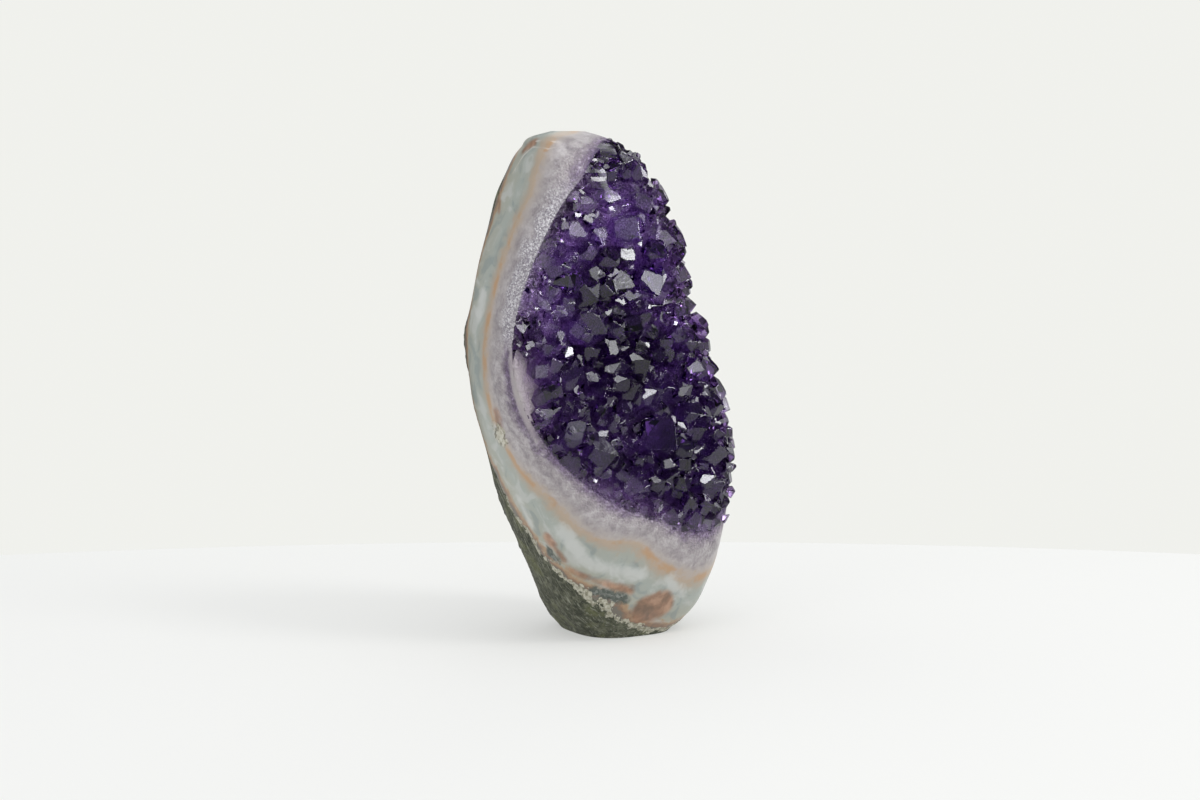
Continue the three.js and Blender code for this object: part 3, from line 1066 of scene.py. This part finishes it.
def add_markings(nodes, colour):
    """White clouds, rust, dark pebbly patches and thin healed cracks, where their attributes say."""
    wobble = nodes.shift(nodes.noise(2.2, 5, 0.6), 3)
    white = nodes.patch(nodes.attribute("white"), wobble, 1)
    colour = nodes.mix(nodes.times(white, 0.8), colour, WHITE_CLOUD)
    rust = nodes.patch(nodes.attribute("rust"), nodes.times(wobble, 0.5), 0.8)
    rust_tone = nodes.ramp(nodes.noise(3, 4, 0.3), RUST_TONES)
    colour = nodes.mix(nodes.times(rust, 0.9), colour, rust_tone)
    dark = nodes.patch(nodes.attribute("dark"), wobble, 0.6)
    pebbles = nodes.blend(nodes.noise(2, 4), 0.6, nodes.grains(0.7))
    colour = nodes.mix(dark, colour, nodes.ramp(pebbles, DARK_TONES))
    crack = nodes.plus(nodes.attribute("cracks"), nodes.shift(nodes.noise(0.9, 3), 0.2))
    return nodes.mix(nodes.range(crack, 0.32, 0.12, 0, 0.6), colour, HEALED_CRACK)


def add_druse_edge(nodes, layers, colour):
    """Next to the crystals: purple roots in section, lilac grains further out, white sugary quartz."""
    roots = nodes.shift(nodes.grains(1), 1.2)
    fine = nodes.blend(nodes.noise(0.9, 4), 0.65, nodes.grains(0.4))
    ragged = nodes.plus(nodes.plus(layers, roots), nodes.shift(nodes.noise(4, 5, 1), 4))
    off_bulge = nodes.range(nodes.attribute("bulge"), 0.7, 0.25)
    mottled = nodes.blend(nodes.noise(2.6, 6, 0.6), 0.7, fine)
    lilac = nodes.times(nodes.range(ragged, 9.5, 5.5, 0, 0.8), off_bulge)
    colour = nodes.mix(lilac, colour, nodes.ramp(mottled, LILAC_TONES))
    purple = nodes.times(nodes.range(ragged, 4, 0.9, 0, 0.92), off_bulge)
    colour = nodes.mix(purple, colour, nodes.ramp(fine, PURPLE_TONES))
    colour = nodes.mix(nodes.range(layers, 1.4, 0.9), colour, DEEP_PURPLE)
    drift = nodes.plus(layers, nodes.shift(nodes.noise(3, 5, 0.5), 7))
    sugar = nodes.times(nodes.range(drift, 6, 3.4), nodes.attribute("sugar"))
    return nodes.mix(nodes.times(sugar, 0.9), colour, nodes.ramp(nodes.grains(0.28), SUGAR_TONES))


def basalt_colour(nodes, scratches):
    """Dark green basalt with mineral grains and mossy parts, pale where saw marks scratch it."""
    mottled = nodes.blend(nodes.noise(1.9, 8, 0.3), 0.75, nodes.grains(0.55))
    moss = nodes.range(nodes.noise(6, 8, 0.5), 0.5, 0.68, 0, 0.5)
    green = nodes.mix(moss, nodes.ramp(mottled, BASALT_TONES), MOSS)
    return nodes.mix(scratches, green, SCRATCHED)


def saw_marks(nodes):
    """Scratches drawn out along the lower left strip and across the front, none on the rough back."""
    strip = nodes.range(nodes.noise(0.5, 3, at=nodes.striped(*STRIP_MARKS)), 0.56, 0.7)
    front = nodes.range(nodes.noise(0.55, 4, 0.8, at=nodes.striped(*FRONT_MARKS)), 0.6, 0.72)
    return nodes.times(nodes.math("MAXIMUM", strip, front), nodes.attribute("sawn"))


def cream_line(nodes, ragged):
    """A knotty line between agate and basalt, low on the stone."""
    knots = nodes.range(nodes.noise(1.3, 3), 0.36, 0.6, 0.1, 1.15)
    from_line = nodes.math("ABSOLUTE", nodes.minus(ragged, BASALT_STARTS + 0.15))
    return nodes.times(nodes.range(nodes.minus(from_line, knots), 0, -0.25), nodes.attribute("low"))


def finest_relief(nodes, rough, scratches, druse_edge):
    """Bumps too small for the mesh: rough parts, saw marks, the druse's grains and a faint waviness."""
    height = nodes.plus(nodes.times(nodes.noise(0.7, 6), rough), scratches)
    height = nodes.plus(height, nodes.times(nodes.cells(0.5), nodes.times(druse_edge, 0.9)))
    return nodes.plus(height, nodes.times(nodes.noise(3.5, 3), 0.12))


def make_stone_material():
    nodes = Material("agate_and_basalt")
    layers = nodes.attribute("layers")
    ragged = nodes.plus(nodes.attribute("ragged"), nodes.shift(nodes.noise(0.9, 4), 0.8))
    agate = add_druse_edge(nodes, layers, add_markings(nodes, agate_colour(nodes, layers)))
    marks = saw_marks(nodes)
    basalt = nodes.range(ragged, BASALT_STARTS - 0.05, BASALT_STARTS + 0.1)
    colour = nodes.mix(basalt, agate, basalt_colour(nodes, nodes.times(marks, 0.6)))
    line = cream_line(nodes, ragged)
    colour = nodes.mix(nodes.times(line, 0.9), colour, nodes.ramp(nodes.noise(0.6, 4), CREAM_TONES))
    pits = nodes.patch(nodes.attribute("pits"), nodes.shift(nodes.noise(1.4, 4), 4), 0.4)
    colour = nodes.mix(nodes.times(pits, 0.8), colour, nodes.ramp(nodes.grains(0.7), PIT_TONES))
    rough = nodes.math("MAXIMUM", basalt, nodes.math("MAXIMUM", line, pits))
    druse_edge = nodes.range(layers, 7.5, 3)
    roughness = nodes.math("MAXIMUM", nodes.range(rough, 0, 1, POLISHED_ROUGHNESS, SAWN_ROUGHNESS),
                           nodes.times(druse_edge, DRUSE_EDGE_ROUGHNESS))
    scratches = nodes.times(marks, nodes.times(basalt, 0.5))
    relief = finest_relief(nodes, rough, scratches, druse_edge)
    nodes.set(Base_Color=colour, Roughness=roughness, Specular_IOR_Level=STONE_SPECULAR,
              Normal=nodes.bump(relief, 0.8, 0.35))
    return nodes.material


def make_amethyst_material():
    """See-through crystal, its colour partly in the surface and partly in the depth."""
    nodes = Material("amethyst")
    # The tint attribute carries painted light and shade as well as the crystals' own paleness
    tint = nodes.plus(nodes.attribute("tint"), nodes.shift(nodes.noise(5, 4, 0.8), 0.5))
    etched = nodes.range(nodes.noise(6, 2), 0.57, 0.63, 0.06, 1)
    growth = nodes.times(nodes.noise(1.2, 3), etched)
    nodes.set(Base_Color=nodes.ramp(tint, AMETHYST_TONES), Roughness=CRYSTAL_ROUGHNESS,
              IOR=AMETHYST_IOR, Transmission_Weight=1, Normal=nodes.bump(growth, 0.22, 0.15))
    absorption = nodes.new("VolumeAbsorption", Color=ABSORPTION_COLOUR, Density=ABSORPTION_DENSITY)
    nodes.feed(nodes.output.inputs["Volume"], absorption.outputs["Volume"])
    return nodes.material


# Stage

def make_floor():
    """A round white table top, nearer the camera than the stone."""
    bpy.ops.mesh.primitive_circle_add(vertices=FLOOR_SIDES, radius=FLOOR_RADIUS, fill_type="NGON")
    floor = bpy.context.object
    floor.name = "floor"
    floor.location = (FLOOR_FORWARD * math.sin(CAMERA_AZIMUTH),
                      -FLOOR_FORWARD * math.cos(CAMERA_AZIMUTH), 0)
    nodes = Material("pale_floor")
    nodes.set(Base_Color=FLOOR_COLOUR, Roughness=1, Specular_IOR_Level=0,
              Emission_Color=FLOOR_GLOW_COLOUR, Emission_Strength=FLOOR_GLOW)
    floor.data.materials.append(nodes.material)


def make_light(name, place, size, power):
    lamp = bpy.data.lights.new(name, "AREA")
    lamp.shape = "RECTANGLE"
    lamp.size, lamp.size_y = size
    lamp.energy = power
    light = bpy.data.objects.new(name, lamp)
    light.location = place
    towards = Vector(LIGHTS_POINT_AT) - Vector(place)
    light.rotation_euler = towards.to_track_quat("-Z", "Y").to_euler()
    bpy.context.scene.collection.objects.link(light)


def make_camera():
    target = Vector(CAMERA_TARGET) * MM
    back = Vector((math.sin(CAMERA_AZIMUTH) * math.cos(CAMERA_ELEVATION),
                   -math.cos(CAMERA_AZIMUTH) * math.cos(CAMERA_ELEVATION),
                   math.sin(CAMERA_ELEVATION)))
    lens = bpy.data.cameras.new("camera")
    lens.lens = FOCAL_LENGTH
    lens.sensor_width = FILM_WIDTH
    lens.clip_start = NEAREST_SEEN
    camera = bpy.data.objects.new("camera", lens)
    camera.location = target + back * CAMERA_DISTANCE * MM
    camera.rotation_euler = back.to_track_quat("Z", "Y").to_euler()
    bpy.context.scene.collection.objects.link(camera)
    bpy.context.scene.camera = camera


def studio_windows(nodes):
    """Bright windows and dark gaps all round, from smooth noise taken through a steep curve."""
    turned = nodes.new("Mapping", Vector=nodes.place, Rotation=WINDOWS_TURN).outputs["Vector"]
    panes = nodes.new("TexNoise", Vector=turned, Scale=WINDOWS_SCALE, Detail=WINDOWS_DETAIL)
    levels = nodes.new("FloatCurve", Value=panes.outputs["Fac"])
    curve = levels.mapping.curves[0]
    curve.points[0].location = REFLECTED_LEVELS[0]
    curve.points[1].location = REFLECTED_LEVELS[-1]
    for at, level in REFLECTED_LEVELS[1:-1]:
        curve.points.new(at, level)
    for point in curve.points:
        point.handle_type = "VECTOR"
    levels.mapping.update()
    return levels.outputs["Value"]


def window_brightness(nodes):
    """Bright in front and to the right, dim on the far left and behind."""
    directions = nodes.new("SeparateXYZ", Vector=nodes.place)
    brightness = BRIGHTEST_WINDOW
    for axis, dim_at, bright_at in DIM_AND_BRIGHT_AT:
        share = nodes.range(directions.outputs[axis], dim_at, bright_at, DIM_WINDOW, smooth=False)
        brightness = nodes.times(share, brightness)
    return brightness


def shine(nodes, colour, strength):
    return nodes.new("Background", Color=colour, Strength=strength).outputs["Background"]


def choose(nodes, share, a, b):
    """One light, or another for rays of one kind."""
    node = nodes.new("MixShader")
    for socket, value in zip(node.inputs, (share, a, b)):
        nodes.feed(socket, value)
    return node.outputs["Shader"]


def make_sky():
    """Pale all round, while shiny surfaces reflect a studio of bright windows and dark gaps."""
    world = bpy.data.worlds.new("studio")
    bpy.context.scene.world = world
    world.use_nodes = True
    nodes = Nodes(world.node_tree, "Generated")
    rays = nodes.new("LightPath")
    windows = nodes.times(studio_windows(nodes), window_brightness(nodes))
    all_round = shine(nodes, STUDIO_LIGHT, AMBIENT)
    reflected = shine(nodes, STUDIO_LIGHT, windows)
    lit = choose(nodes, rays.outputs["Is Glossy Ray"], all_round, reflected)
    sky = choose(nodes, rays.outputs["Is Camera Ray"], lit, shine(nodes, BACKDROP, 1))
    nodes.feed(world.node_tree.nodes["World Output"].inputs["Surface"], sky)


make_camera()
make_sky()
make_floor()
for light in LIGHTS:
    make_light(*light)
bpy.context.scene.view_settings.view_transform = "Standard"

stone = make_stone()
stone.data.materials.append(make_stone_material())
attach(stone, "root")
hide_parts("stone_wall")

crystals = make_crust()
crystals.data.materials.append(make_amethyst_material())
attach(crystals, "root")
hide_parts("crystal_crust")
